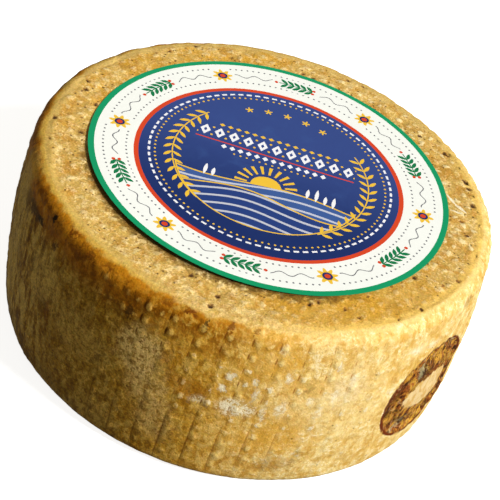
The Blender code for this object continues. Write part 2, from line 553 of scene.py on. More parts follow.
def buildRind():
    profile = drumProfile()
    perFlute = len(basket["columns"])
    columns = basket["flutes"] * perFlute
    bm = spinProfile(profile, columns)
    layers = {name: bm.verts.layers.float.new(name) for name in rindLevels}
    nubs, pits = scatterNubs(), scatterPits()
    noise.seed_set(crown["seed"])  # else noise_vector starts from the clock
    topEdgeRadius = sideRadius(drum["height"]) - drum["topEdge"]
    footEdgeRadius = sideRadius(0.0) - drum["footEdge"]
    tiny = 1e-6
    for vert in bm.verts:
        radius, height = hypot(vert.co.x, vert.co.y), vert.co.z
        if radius < tiny:
            continue
        column = round(atan2(vert.co.y, vert.co.x) / tau * columns) % columns
        flute, place = divmod(column, perFlute)
        turn = flute + basket["columns"][place]
        facing = faceDirection(height)
        if height > drum["height"] - tiny and radius < topEdgeRadius - tiny:
            vert.co, levels = topPoint(turn, radius, pits)
        elif height < tiny and radius < footEdgeRadius - tiny:
            levels = {}
        else:
            vert.co, levels = sidePoint(turn, radius, height, nubs, facing)
        levels["crown"] = smoothStep(0.1, 0.9, facing[1])
        for name, level in levels.items():
            vert[layers[name]] = level
    bmesh.ops.recalc_face_normals(bm, faces=bm.faces)
    return finishPiece("cheeseRind", bm, rindMaterial(), "wheel")


# the rind's tones on the shaded side, around the back and on the sunny side: partly its own colour, partly
# painted shade and light
litAndShadedTones = {
    "body": ((166, 125, 38), (217, 160, 48), (240, 204, 124)),
    "pale": ((202, 164, 80), (236, 190, 90), (252, 228, 160)),
    "dim": ((126, 84, 8), (182, 124, 28), (214, 165, 74)),
    "nub": ((232, 184, 88), (250, 208, 108), (253, 230, 162)),
    "groove": ((104, 60, 6), (130, 70, 6), (184, 122, 42)),
    "rim": ((214, 178, 94), (216, 182, 106), (240, 198, 102)),
    "lip": ((216, 170, 66), (208, 168, 74), (242, 212, 138)),
}

# tones that are the same all round
dyes = {
    "amber": (174, 106, 8),
    "amberDark": (132, 76, 4),
    "amberPale": (208, 136, 20),
    "rust": (112, 58, 8),
    "umber": (84, 56, 20),
    "pitch": (34, 24, 12),
    "honey": (224, 168, 60),
    "haze": (206, 172, 92),
    "cream": (244, 212, 140),
    "mould": (252, 240, 206),
    "crust": (212, 172, 90),
    "crustAmber": (196, 144, 58),
    "crustGold": (214, 160, 52),
    "crustPale": (238, 207, 140),
    "crumb": (248, 226, 168),
    "pitEdge": (134, 88, 42),
    "pitFloor": (62, 40, 26),
}

# patches on the side, a dye's name first: bearing, drop, half width and half height in mm, strength
# and how speckled
stains = (
    ("honey", (288, 53, 19, 9, 0.5, 0.0), (283, 12, 13, 14, 0.5, 0.2), (290, 42, 12, 10, 0.35, 0.3)),
    ("haze", (205, 38, 10, 36, 0.6, 0.5), (201, 12, 9, 14, 0.7, 0.4), (239, 38, 15, 11, 0.36, 0.5),
     (224, 29, 12, 12, 0.55, 0.4), (246, 68, 10, 8, 0.3, 0.5)),
    # the cream patches on the sunny side are partly the rind's paler patches, partly painted highlight
    ("cream", (255, 27, 11, 12, 0.55, 0.7), (258, 42, 9, 9, 0.35, 0.7), (262, 56, 9, 12, 0.3, 0.7),
     (293, 28, 16, 13, 0.4, 0.6), (304, 32, 20, 22, 0.45, 0.5), (294, 4.5, 6, 3.5, 0.6, 0.5),
     (320, 13, 6, 4, 0.7, 0.4), (310, 38, 5, 6, 0.5, 0.5), (304, 18, 5, 6, 0.45, 0.5)),
    ("mould", (302, 26, 8, 9, 0.28, 0.5)),
    # the patch at bearing 204, drop 3 is painted highlight on the rim's edge; the others are the rind's own
    # honey tone
    ("honey", (293, 24, 10, 5, 0.45, 0.3), (311, 5, 7, 4, 0.35, 0.4), (314, 24, 7, 6, 0.3, 0.3),
     (289, 13, 6, 7, 0.35, 0.3), (262, 13, 14, 6, 0.2, 0.0), (204, 3, 6, 3, 0.5, 0.3)),
    ("amber", (267.5, 33.5, 9, 5, 0.6, 0.4), (262, 22, 5, 9, 0.3, 0.6)),
    ("amberDark", (228, 41, 2, 6, 0.5, 0.3)),
    ("umber", (245, 41, 1.6, 4, 0.5, 0.4), (213.5, 11.8, 7.0, 3.2, 0.95, 0.2), (208, 14, 5, 4.5, 0.7, 0.4)),
    ("pitch", (216.5, 11.4, 2.6, 2.0, 0.8, 0.2), (221.7, 3.6, 1.3, 1.7, 0.98, 0.0)),
    ("umber", (225.6, 13, 1.8, 2.2, 0.85, 0.1), (249.6, 12.4, 1.8, 2.6, 0.8, 0.1),
     (243, 11.5, 2.2, 2.0, 0.35, 0.4)),
    ("rust", (236, 3.4, 2.4, 1.8, 0.75, 0.2), (232, 6.5, 3.0, 1.6, 0.6, 0.3),
     (241, 2.4, 1.8, 1.2, 0.65, 0.2), (229, 1.4, 3.4, 1.0, 0.75, 0.2), (214, 1.6, 2.6, 0.8, 0.5, 0.2),
     (257.4, 1.4, 1.7, 0.8, 0.55, 0.2), (262.9, 1.2, 2.0, 1.0, 0.9, 0.1)),
    ("umber", (266.8, 4.4, 0.9, 2.4, 0.85, 0.0)),
    ("rust", (272.2, 2.2, 1.2, 1.9, 0.8, 0.1), (278.0, 1.6, 1.4, 0.9, 0.6, 0.2)),
    ("amber", (283.5, 4.5, 2.6, 2.2, 0.45, 0.4)),
    ("amberDark", (291, 66, 8, 6, 0.4, 0.7)),
    ("umber", (296, 62, 3, 4, 0.3, 0.8)),
    ("haze", (292.3, 22, 2.4, 3, 0.8, 0.4)),
    ("umber", (292.5, 24.5, 2, 2, 0.35, 0.6), (338, 5, 4, 3, 0.45, 0.8)),
    ("mould", (278, 37.5, 7.5, 4.4, 0.85, 0.85), (270, 38.0, 4.0, 2.4, 0.5, 0.8),
     (275.1, 23.4, 1.5, 1.9, 0.9, 0.3), (274.2, 29.3, 1.7, 1.6, 0.95, 0.2),
     (280.9, 22.8, 1.2, 1.8, 0.85, 0.4), (281.3, 29.5, 1.5, 3.4, 0.8, 0.5),
     (287.4, 19.5, 1.3, 2.2, 0.85, 0.5), (288.1, 35, 2.3, 4, 0.75, 0.7), (284.4, 38.5, 1.4, 4, 0.7, 0.7),
     (298.5, 13.3, 1.1, 2.2, 0.75, 0.3), (299.7, 28.4, 1.6, 5, 0.7, 0.7),
     (294.1, 30.8, 1.8, 2.4, 0.65, 0.6), (297, 36.7, 1.6, 3.6, 0.65, 0.7),
     (285.0, 7.0, 1.6, 2.6, 0.45, 0.6), (303, 21, 2.0, 5.0, 0.35, 0.8), (319.8, 14.2, 4, 2.4, 0.75, 0.6),
     (325.5, 14.8, 3.4, 2.2, 0.55, 0.7)),
)

# pale scratches on the top face: both ends and the width in mm
scratches = ((73.4, 22.1, 77.6, 17.2, 1.5), (77.0, 17.8, 82.4, 13.4, 1.7), (75.9, 12.6, 81.1, 11.7, 1.0))

scorch = {
    "edge": (104, 40, 10),
    "char": (60, 32, 16),
    "brown": (150, 82, 32),
    "gold": (214, 158, 58),
    "olive": (160, 130, 46),
    "ash": (226, 200, 148),
    "lichen": (158, 150, 112),
    "middle": (236, 206, 148),
    "straw": (214, 165, 74),
    "middleHalf": (0.014, 0.008),
    "middleShift": (0.0016, 0.0006),
    # blots in the band: tone, bearing, drop, half width and half height in mm, strength, how speckled
    "blots": (
        ("gold", 320, 27, 8, 3, 0.6, 0.5), ("edge", 318.6, 39, 4, 9, 0.6, 0.5),
        ("edge", 320.0, 54, 5, 6, 0.55, 0.6), ("edge", 333.0, 33, 5, 3, 0.5, 0.6),
        ("char", 327.2, 31.5, 5.0, 5.6, 0.75, 0.5), ("lichen", 325.3, 29.4, 2.6, 4.2, 0.9, 0.3),
        ("gold", 331.5, 26, 3.6, 5, 0.9, 0.2), ("ash", 337, 22, 3, 3, 0.7, 0.6),
        ("char", 317.0, 40, 1.5, 6, 0.75, 0.5), ("char", 318.0, 47.5, 2.2, 3.0, 0.85, 0.3),
        ("gold", 320, 53, 3, 4, 0.75, 0.4), ("char", 325.5, 57.0, 4.6, 2.6, 0.7, 0.6),
        ("lichen", 326.4, 57.4, 2.2, 1.6, 0.8, 0.4), ("ash", 325, 62.0, 5, 1.6, 0.7, 0.5),
        ("char", 328, 60.5, 4, 1.0, 0.7, 0.5), ("gold", 332, 53.5, 5, 2.2, 0.85, 0.3),
        ("olive", 334, 56.5, 4, 2.0, 0.8, 0.4),
    ),
}


def onTheSide(bearing):
    # distance around the side from the bearing that faces the front
    return radians(bearing - 270) * sideRadius(drum["height"] / 2)


class Skin:
    # what the rind's colours are mixed from: where a point lies, soft noises and the relief's levels
    def __init__(self, place):
        self.place = place
        self.x, self.y, z = parts(place)
        self.reach = (self.x * self.x + self.y * self.y).math("SQRT")
        self.drop = drum["height"] - z
        around = self.x.math("ARCTAN2", 0.0 - self.y)
        along = around * sideRadius(drum["height"] / 2)
        self.side = joined(along, self.drop)
        self.face = joined(self.x, self.y)
        self.nub, self.crest, self.groove, self.pit, self.crown = [
            place.node("ShaderNodeAttribute", {"attribute_name": name}, output=2) for name in rindLevels
        ]
        self.fine = grain(place, 0.0008, 3.0, 0.7)
        self.small = grain(place, 0.0019, 3.0, 0.65, 0.4)
        self.rough = grain(place, 0.005, 3.0, 0.6)
        self.broad = grain(place, 0.022, 2.0, 0.5)
        self.strand = grain(stretch(place, 1.0, 1.0, 0.26), 0.0020, 3.0, 0.6, 0.4)
        self.dabs = grain(stretch(place, 1.0, 1.0, 0.50), 0.0034, 3.0, 0.6, 0.5)
        # the side's place, warped so that what is laid out by it gets torn edges
        tornAlong = along + (self.rough - 0.5) * 0.006 + (self.small - 0.5) * 0.003
        tornDrop = self.drop + (self.dabs - 0.5) * 0.006 + (self.fine - 0.5) * 0.002
        self.torn = joined(tornAlong, tornDrop)
        self.wander = self.dabs * 0.55 + self.strand * 0.15 + self.small * 0.30
        scallop = grain(place, 0.0085, 1.0, 0.5)
        ragged = (scallop - 0.5) * 0.0060 + (self.dabs - 0.5) * 0.0020 + (self.small - 0.5) * 0.0014
        self.onSide = rise(self.reach + ragged, 0.0914, 0.0930)
        self.speckle = self.small + (self.fine - 0.5) * 0.5
        self.fleck = (self.small - 0.5) * 2.6 + (self.fine - 0.5) * 1.2
        self.fray = (self.rough - 0.5) * 1.1 + (self.small - 0.5) * 0.8
        # where amber has soaked in: from the rim down, in patches towards the front
        soaked = rise(self.drop + self.fray * 0.007, 0.0190, 0.0080)
        soaked = soaked * either(self.facing(236, 30, 46), self.facing(165, 50, 85))
        patches = rise(self.dabs * 0.5 + self.rough * 0.5, 0.46, 0.55) * self.facing(276, 8, 28)
        self.soaked = soaked * (1.0 - patches * 0.8)
        # the sides facing away from the key lamp and towards it; many colours mixed by these are partly
        # painted shade and light
        self.shady = self.facing(222, 18, 60)
        self.sunny = self.facing(340, 34, 74)

    def facing(self, bearing, narrow, wide):
        # 1 within narrow degrees of a bearing and 0 beyond wide degrees
        angle = radians(bearing)
        towards = (self.x * cos(angle) + self.y * sin(angle)) / self.reach
        return rise(towards, cos(radians(wide)), cos(radians(narrow)))

    def shadedToSunnyTone(self, name):
        # a tone mixed from its shaded, back and sunny copies, so partly painted shade and light
        shadyTone, backTone, sunnyTone = [tone(*levels) for levels in litAndShadedTones[name]]
        return mix(self.sunny, mix(self.shady, backTone, shadyTone), sunnyTone)

    def patch(self, bearing, dropAt, halfWidth, halfHeight, speckled):
        # a frayed oval on the side, broken up into flecks as far as it is speckled
        size = (onTheSide(bearing), dropAt / 1000, halfWidth / 1000, halfHeight / 1000)
        fray = self.fleck if min(halfWidth, halfHeight) < 3.0 else self.fray
        level = rise(lengthOf(local(self.torn, *size)) + fray, 1.3, 0.55)
        flecks = rise(self.speckle + level * 0.08, 0.49, 0.59)
        return level * (flecks * speckled + (1.0 - speckled))


def sideColour(skin):
    pale, dim = skin.shadedToSunnyTone("pale"), skin.shadedToSunnyTone("dim")
    coat = Coat(skin.shadedToSunnyTone("body"), dyes)
    coat.lay(rise(skin.wander, 0.50, 0.58) * 0.80, pale)
    coat.lay(rise(skin.wander, 0.50, 0.42) * 0.80, dim)
    coat.lay(rise(skin.broad, 0.46, 0.64) * 0.30, dim)
    clouds = 0.40 - skin.shady * 0.28
    coat.lay(rise(skin.rough, 0.52, 0.62) * clouds, pale)
    coat.lay(rise(skin.rough, 0.48, 0.38) * clouds, dim)
    # upright strands, like bark, on the side that is seen edge on
    bark = grain(stretch(skin.place, 1.0, 1.0, 0.30), 0.0036, 4.0, 0.65, 0.3)
    edgeOn = skin.facing(184, 30, 56)
    coat.lay(rise(bark, 0.50, 0.58) * edgeOn * 0.80, "haze")
    coat.lay(rise(bark, 0.50, 0.42) * edgeOn * 0.70, dim)
    coat.lay(rise(bark, 0.44, 0.36) * edgeOn * 0.50, "umber")
    # pale flecks on the sunny side
    flecks = rise(skin.small * 0.6 + skin.fine * 0.4 + (skin.rough - 0.5) * 0.4, 0.55, 0.63)
    coat.lay(flecks * skin.sunny * 0.45, "mould")
    # darker towards the foot on the shaded side: partly brown smudging, partly painted shade near the floor
    foot = rise(skin.drop + skin.fray * 0.006, 0.064, 0.075) * skin.facing(222, 8, 40)
    coat.lay(foot * 0.45, "umber")
    return coat


def layMark(skin, coat):
    # the scorched mark: a mottled band with blots around a plain middle, and a dark outline
    atMark = (onTheSide(ironMark["bearing"]), ironMark["drop"])
    away = lengthOf(local(skin.side, *atMark, ironMark["radius"], ironMark["radius"])) + skin.fray * 0.04
    centre = [at + shift for at, shift in zip(atMark, scorch["middleShift"])]
    fromMiddle = lengthOf(local(skin.side, *centre, *scorch["middleHalf"])) + skin.fray * 0.45
    smear = grain(stretch(skin.place, 1.0, 1.0, 0.55), 0.0042, 4.0, 0.65, 0.9)
    crackle = grain(stretch(skin.place, 1.0, 1.0, 0.7), 0.0015, 3.0, 0.7, 0.8)
    burnt = Coat(tone(*scorch["brown"]), scorch)
    burnt.lay(rise(smear, 0.50, 0.58) * 0.9, "gold")
    burnt.lay(rise(smear + (crackle - 0.5) * 0.5, 0.49, 0.41) * 0.90, "char")
    burnt.lay(rise(skin.rough, 0.54, 0.64) * 0.5, "olive")
    for name, *where, strength, speckled in scorch["blots"]:
        burnt.lay(skin.patch(*where, speckled) * strength, name)
    burnt.lay(rise(crackle, 0.46, 0.39) * 0.85, "char")
    burnt.lay(rise(crackle, 0.57, 0.66) * 0.40, "ash")
    coat.lay(rise(away, 1.0, 0.97), shade(burnt.colour, 0.55 + skin.fine * 0.8))
    middle = Coat(tone(*scorch["middle"]), scorch)
    middle.lay(rise(skin.dabs, 0.46, 0.58) * 0.7, "straw")
    coat.lay(rise(fromMiddle, 1.08, 0.98), middle.colour)
    inner = 0.955 - skin.facing(313, 2, 9) * 0.05  # the outline is widest at the left
    outline = rise(away - inner, 0.0, 0.02) * rise(away, 1.03, 1.0)
    outline = outline * rise(skin.rough + (skin.small - 0.5) * 0.6, 0.32, 0.48)
    coat.lay(outline, tone(*scorch["edge"]))


def topColour(skin):
    coat = Coat(tone(*dyes["crust"]), dyes)
    coat.lay(rise(skin.rough * 0.5 + skin.small * 0.5, 0.48, 0.60) * 0.80, "crustPale")
    patches = grain(skin.place, 0.0080, 3.0, 0.6, 0.4) + (skin.small - 0.5) * 0.3
    coat.lay(rise(patches, 0.48, 0.60) * 0.85, "crustAmber")
    golden = rise(skin.broad * 0.5 + skin.rough * 0.5, 0.45, 0.55)
    golden = golden * either(skin.facing(135, 25, 60), skin.facing(305, 10, 34))
    coat.lay(golden * 0.80, "crustGold")
    smooth = skin.facing(303, 8, 30)
    coat.lay(smooth * 0.55, "crustGold")
    crumbs = rise(skin.speckle, 0.54, 0.68)
    coat.lay(crumbs * (0.30 - smooth * 0.18), "crumb")
    pocks = specks(skin.place, 0.0040, 0.0009, 0.45, (skin.fine - 0.5) * 0.35)
    coat.lay(pocks * rise(skin.rough, 0.40, 0.56) * 0.75, "pitEdge")
    dots = specks(skin.place, 0.0030, 0.0006, 0.80, (skin.fine - 0.5) * 0.3)
    coat.lay(dots * (0.75 - smooth * 0.4), "pitFloor")

    # the plain golden rim, then a lip that the side's texture runs up to
    inRim = rise(skin.reach + (skin.rough - 0.5) * 0.008 + (skin.small - 0.5) * 0.003, 0.0868, 0.0890)
    worn = skin.facing(272, 9, 22)  # where the rim is as pale and crumbly as the crust
    inRim = inRim * (1.0 - worn * 0.75)
    coat.lay(inRim * 0.85, skin.shadedToSunnyTone("rim"))
    lip = rise(skin.reach + skin.fray * 0.0006, 0.0898, 0.0914) * (0.7 - worn * 0.4)
    coat.lay(lip, skin.shadedToSunnyTone("lip"))
    pallor = rise(skin.reach + (skin.rough - 0.5) * 0.016, 0.0830, 0.0870) * worn
    coat.lay(pallor * rise(skin.wander, 0.38, 0.60) * 0.50, "crustPale")
    mottle = (skin.wander - 0.5) * 0.7 + (skin.fine - 0.5) * 0.9
    coat.colour = shade(coat.colour, 1.0 + mottle * (1.0 - either(inRim * 0.65, smooth * 0.5)))
    pips = rise(skin.nub + (skin.fine - 0.5) * 0.9, 0.20, 0.80)
    coat.lay(pips * (0.45 + skin.facing(30, 30, 60) * 0.45 - smooth * 0.20), "crumb")
    frayedPit = skin.pit + (skin.small - 0.5) * 2.2
    inPit = rise(skin.pit, 0.0, 0.12)
    coat.lay(rise(frayedPit, -0.1, 0.45) * inPit * 0.70, "pitEdge")
    coat.lay(rise(frayedPit, 0.35, 0.80) * inPit * 0.90, "pitFloor")

    # painted shadow with some brown staining: the crust is darkened where the label's lifted edge shades it
    fromLabel = lengthOf(local(skin.face, labelMiddle.x, labelMiddle.y, labelRadius, labelRadius))
    labelShadowAndStain = rise(fromLabel + (skin.small - 0.5) * 0.12 + (skin.rough - 0.5) * 0.08, 1.060, 0.996)
    coat.lay(labelShadowAndStain * skin.facing(250, 44, 70) * skin.crown * 0.80, "umber")
    for startX, startY, endX, endY, width in scratches:
        middleX, middleY = (startX + endX) / 2000, (startY + endY) / 2000
        turn = atan2(endY - startY, endX - startX)
        half = hypot(endX - startX, endY - startY) / 2000
        x, y = folded(skin.face, middleX, middleY, half * 1.15, width / 2000, turn)
        coat.lay(rise(x * x + y + skin.fray * 1.3, 1.1, 0.8) * skin.crown * 0.9, "mould")
    return coat.colour


def layAmber(skin, coat):
    # amber that has soaked in from the rim down, paler at its upper edge, which is partly painted highlight
    # along the rounded rim, and darker below on the shaded side, which is partly painted shade
    swirl = skin.dabs * 0.5 + skin.rough * 0.5
    amber = Coat(tone(*dyes["amber"]), dyes)
    amber.lay(rise(swirl, 0.49, 0.57) * 0.60, "amberPale")
    amber.lay(rise(swirl, 0.51, 0.43) * 0.85, "amberDark")
    depth = skin.drop + skin.fray * 0.004 + (skin.strand - 0.5) * 0.006
    # paler at the top edge: partly the amber's own edge, partly painted highlight on the rounding
    amber.lay(rise(depth, 0.0030, 0.0002) * 0.70, "amberPale")
    # darker lower down on the shaded side: partly deeper amber, partly painted shade
    amber.lay(rise(depth, 0.0050, 0.0110) * skin.shady * 0.45, "amberDark")
    coat.lay(skin.soaked * 0.88, amber.colour)


def layStains(skin, coat):
    for dye, *patches in stains:
        for *where, strength, speckled in patches:
            coat.lay(skin.patch(*where, speckled) * strength, dye)
    coat.lay(specks(skin.place, 0.0046, 0.0005, 0.4, (skin.fine - 0.5) * 0.3) * 0.6, "umber")


def layPrint(skin, coat):
    # the basket's print: a dark stroke beside each nub, a pale crown on it that is partly painted highlight,
    # and mould on some crowns
    stroke = rise(skin.groove + skin.fleck * 0.14, 0.20, 0.62)
    stroke = stroke * (0.85 - rise(skin.drop, 0.040, 0.048) * 0.30)
    coat.lay(stroke, skin.shadedToSunnyTone("groove"))
    # pale crown on each nub: partly the rind's paler crowns, partly painted highlight
    paleCrownAndHighlight = rise(skin.nub + skin.fleck * 0.22, 0.15, 0.70) * (1.0 - skin.crown)
    coat.lay(paleCrownAndHighlight * 0.76, skin.shadedToSunnyTone("nub"))
    mouldy = rise(skin.crest + skin.fleck * 0.70, 0.40, 0.75) * rise(skin.rough, 0.46, 0.56)
    height = rise(skin.drop, 0.012, 0.018) * rise(skin.drop, 0.054, 0.044)
    coat.lay(mouldy * height * skin.facing(294, 20, 32) * 0.65, "mould")


def rindMaterial():
    made, shader, place = startMaterial("agedRind")
    skin = Skin(place)
    side = sideColour(skin)
    for layer in (layAmber, layStains, layMark, layPrint):
        layer(skin, side)
    colour = mix(skin.onSide, topColour(skin), side.colour)
    # the fine grain's colour contrast, stronger on the shaded side: partly the grain's own tone, partly
    # painted shade standing in for relief that the weak light there hardly shows
    depth = (skin.fine - 0.5) * 0.62 + (skin.small - 0.5) * 0.38
    gain = skin.shady * 1.8 + 0.4 - skin.sunny * 0.6 - skin.soaked * 1.6
    colour = shade(colour, 1.0 + depth * (1.0 + gain * skin.onSide))
    # a little of every hue in the finest grain
    motley = grain(place, 0.0013, 2.0, 0.7).other(1)
    colour = mix(0.16, colour, motley, "OVERLAY")
    upright = (skin.strand * skin.shady * 0.5 + skin.dabs * 0.5) * (1.0 - skin.crown)
    height = skin.fine * 0.5 + skin.small + upright
    bump = place.node("ShaderNodeBump", None, {"Strength": 0.7, "Distance": 0.0005, "Height": height})
    feed(shader, {
        "Base Color": colour,
        "Roughness": 0.50 - skin.nub * 0.14 + (skin.rough - 0.5) * 0.3,
        "Specular IOR Level": 0.08,
        "Normal": bump,
    })
    return made


# the paper label
paper = {
    "thickness": 0.00018,
    "lift": 0.0016,
    "liftBearing": 240,
    "liftFrom": 0.6,  # share of the radius where the lift begins
    "liftNarrowing": 2.2,
    "segments": 240,
    "rings": 22,
    "waveRise": 0.00012,
    "waveSpacing": 0.016,
}


def paperHeight(x, y):
    # how far the paper stands off the face at a place on it
    radius = hypot(x, y)
    facing = max(0.0, cos(atan2(y, x) - radians(paper["liftBearing"])))
    facing **= paper["liftNarrowing"]
    lift = paper["lift"] * facing * smoothStep(paper["liftFrom"] * labelRadius, labelRadius, radius)
    wave = paper["waveRise"] * (1.0 + noise.noise(Vector((x, y, 0.0)) / paper["waveSpacing"]))
    return lift + wave


def buildLabel():
    bm = bmesh.new()
    made = bmesh.ops.create_circle(bm, segments=paper["segments"], radius=labelRadius)
    rim = list(dict.fromkeys(edge for vert in made["verts"] for edge in vert.link_edges))
    for ring in range(paper["rings"], 1, -1):
        grown = bmesh.ops.extrude_edge_only(bm, edges=rim)["geom"]
        inner = [item for item in grown if isinstance(item, bmesh.types.BMVert)]
        shrink = (ring - 1) / ring
        bmesh.ops.scale(bm, vec=(shrink, shrink, 1.0), verts=inner)
        kept = set(inner)
        rim = [edge for edge in bm.edges if edge.verts[0] in kept and edge.verts[1] in kept]
    middle = bmesh.ops.edgeloop_fill(bm, edges=rim)["faces"]
    bmesh.ops.poke(bm, faces=middle)
    bmesh.ops.recalc_face_normals(bm, faces=bm.faces)
    if sum(face.normal.z for face in bm.faces) < 0.0:
        bmesh.ops.reverse_faces(bm, faces=bm.faces)
    for vert in bm.verts:
        vert.co.z = paperHeight(vert.co.x, vert.co.y) + paper["thickness"]
    bmesh.ops.solidify(bm, geom=bm.faces, thickness=paper["thickness"])
    bmesh.ops.recalc_face_normals(bm, faces=bm.faces)
    bmesh.ops.translate(bm, vec=(labelMiddle.x, labelMiddle.y, drum["height"]), verts=bm.verts)
    piece = finishPiece("paperLabel", bm, paperMaterial(), "label")
    piece.data.set_sharp_from_angle(angle=radians(40))
    return piece


inks = {
    "paper": (248, 250, 245),
    "green": (10, 153, 101),
    "leafGreen": (14, 122, 74),
    "red": (218, 70, 34),
    "blueTop": (51, 73, 138),
    "blueLow": (22, 45, 104),
    "hillFar": (60, 92, 156),
    "hillNear": (36, 62, 128),
    "gold": (242, 196, 60),
    "grey": (112, 112, 118),
    "white": (246, 246, 250),
}

# the print, in shares of the label's radius; angles in degrees from +X
labelPrint = {
    "greenFrom": 0.967,
    "redTo": 0.748,
    "blueTo": 0.722,
    "blueShift": (-0.0027, -0.018),  # the middle field is printed a little off centre
    "motifRing": 0.857,
    "motifs": 6,
    "dotRings": ((0.795, 150, 0.0058), (0.92, 168, 0.0058)),
    "dashRing": (0.672, 84, 0.015, 0.0065),
    "beadRing": (0.64, 120, 0.0062),
    "laurelRing": 0.545,
    "laurelLeaves": 52,
    "laurelSpans": ((187, 46), (-7, 46)),  # middle and half width of each branch
    "stars": 30,
    "starRing": 0.53,
    "starSpan": (90, 27),
    "friezeHeight": 0.18,
    "friezePitch": 0.082,
    "friezeHalf": 0.451,  # a whole number of diamonds fits in each row, so none is cut
    "rows": ((0.07, 0.047, 6.5, 0.017, 0.02, "white"), (0.262, 0.047, 7.5, 0.017, 0.014, "gold")),
    "lineHeight": 0.105,
    "sunPlace": (0.0, -0.17),
    "sunRadius": 0.085,
    "sunRays": 20,
    "sceneRadius": 0.52,
    # height, waves, phase and swing of each hill's line, and its ink
    "hills": ((-0.185, 6.1, 0.6, 0.03, "hillFar"), (-0.285, 7.3, 2.3, 0.04, "hillNear")),
    # place along the far hill and half height
    "trees": ((-0.335, 0.05), (-0.29, 0.038), (0.225, 0.042), (0.275, 0.056), (0.325, 0.04),
              (0.372, 0.05)),
}


